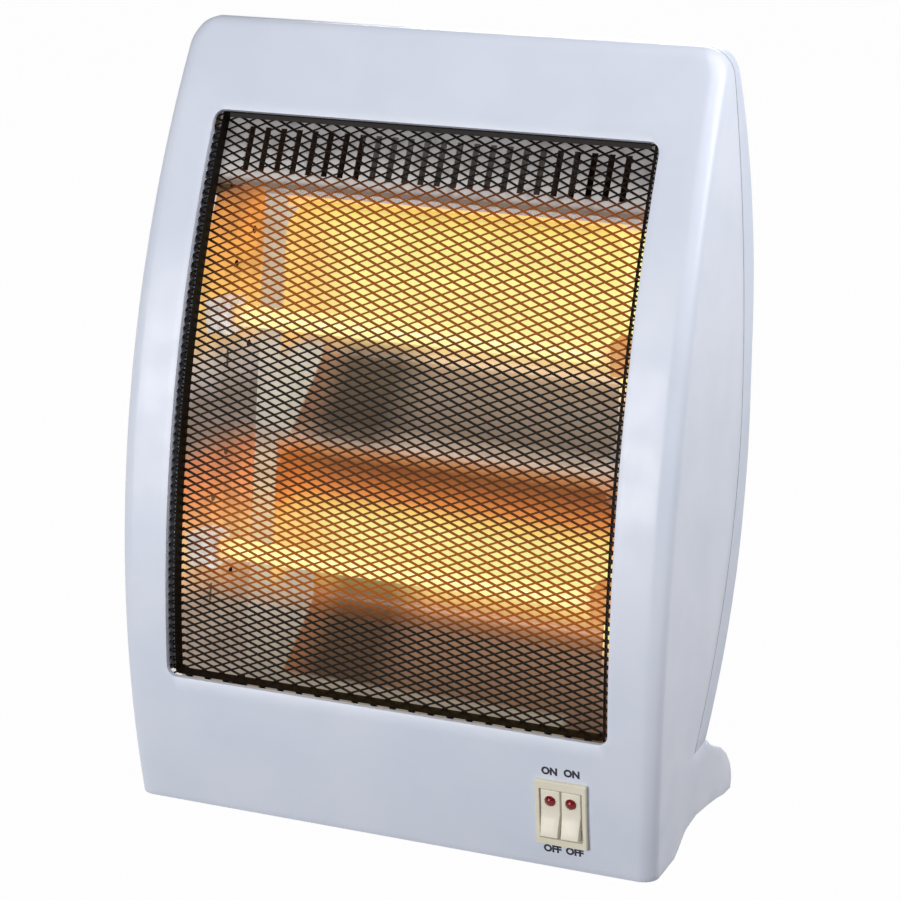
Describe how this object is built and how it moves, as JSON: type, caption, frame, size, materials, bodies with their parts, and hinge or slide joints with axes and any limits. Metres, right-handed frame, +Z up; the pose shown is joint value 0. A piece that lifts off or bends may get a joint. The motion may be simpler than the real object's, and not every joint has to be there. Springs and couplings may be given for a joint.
{
  "type": "halogen heater",
  "caption": "Free-standing radiant heater with two quartz tubes, folded sheet reflector, mesh guard, moulded housing on runner feet, rocker switches and tip-over cut-out",
  "frame": {"origin": "centre of the bounding box in X and Y, on the floor", "axes": "+X to the right seen from the front, -Y the way the front faces, +Z up; millimetres in the source, metres here"},
  "size_m": [0.278, 0.1346, 0.375],
  "materials": {
    "housing": "satin moulded, pale bluish white",
    "base": "dark grey coated sheet",
    "guard": "black coated expanded metal",
    "sheet": "plain sheet",
    "reflector": "bright pressed sheet",
    "quartz": "clear quartz",
    "filament": "glowing wire",
    "ceramic": "unglazed",
    "steel": "zinc plated",
    "brass": "plain",
    "switch": "cream moulded",
    "black_plastic": "moulded",
    "lens": "red translucent",
    "white_plastic": "moulded",
    "rubber": "moulded"
  },
  "bodies": {
    "heater": {"front_housing": "housing", "rear_cover": "housing", "base_plate": "base", "grille": "guard", "top_panel": "sheet", "reflector": "reflector", "end_plate_left": "sheet", "end_plate_right": "sheet", "quartz_tube_upper": "quartz", "quartz_tube_lower": "quartz", "filament_upper": "filament", "filament_lower": "filament", "cap_upper_left": "ceramic", "cap_upper_right": "ceramic", "cap_lower_left": "ceramic", "cap_lower_right": "ceramic", "tube_forks": "steel", "element_terminals": "brass", "switch_bezel": "switch", "switch_block": "black_plastic", "rocker_pin": "steel", "tip_switch_body": "black_plastic", "tip_spring": "steel", "thermal_cutout": "steel", "terminal_block": "white_plastic", "cord_gland": "rubber", "housing_screws": "steel", "plate_screws": "steel", "guard_screws": "steel"},
    "rocker_left": {"rocker_left": "switch", "lens_left": "lens"},
    "rocker_right": {"rocker_right": "switch", "lens_right": "lens"},
    "plunger": {"tip_plunger": "white_plastic"}
  },
  "joints": [
    {"name": "rocker_left_rock", "type": "hinge", "parent": "heater", "child": "rocker_left", "pos_m": [0.0858, -0.0611, 0.02971], "axis": [1, 0, 0], "range_deg": [0, 18]},
    {"name": "rocker_right_rock", "type": "hinge", "parent": "heater", "child": "rocker_right", "pos_m": [0.096, -0.0611, 0.02971], "axis": [1, 0, 0], "range_deg": [0, 18]},
    {"name": "plunger_slide", "type": "slide", "parent": "heater", "child": "plunger", "axis": [0, 0, 1], "range_m": [-0.006, 0], "stiffness_N_per_m": 120, "springref_m": -0.014, "deforming": ["tip_spring"]}
  ]
}
